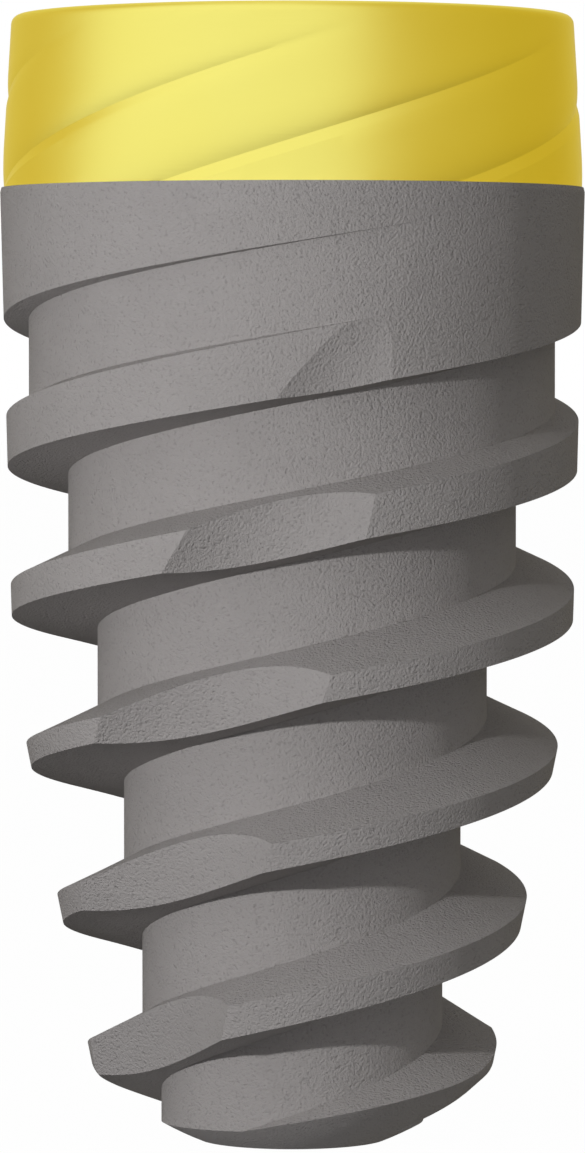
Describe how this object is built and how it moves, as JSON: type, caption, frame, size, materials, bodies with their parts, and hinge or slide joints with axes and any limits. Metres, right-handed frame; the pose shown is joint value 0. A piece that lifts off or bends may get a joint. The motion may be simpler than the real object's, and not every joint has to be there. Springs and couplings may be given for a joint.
{
  "type": "dental implant fixture",
  "caption": "Tapered root-form dental implant with a coarse double-start thread, cutting flutes and a gold anodised collar with an internal hexagon.",
  "frame": {"origin": "centre of the flat at the apex, which the part stands on", "axes": "+Z along the implant's axis from the apex to the platform, -Y towards the viewer of the picture"},
  "size_m": [0.005, 0.005, 0.0096],
  "materials": {
    "titanium": "blasted grey titanium, with a smooth gold anodised collar"
  },
  "bodies": {
    "root": {"implant_fixture": "titanium"}
  },
  "joints": []
}
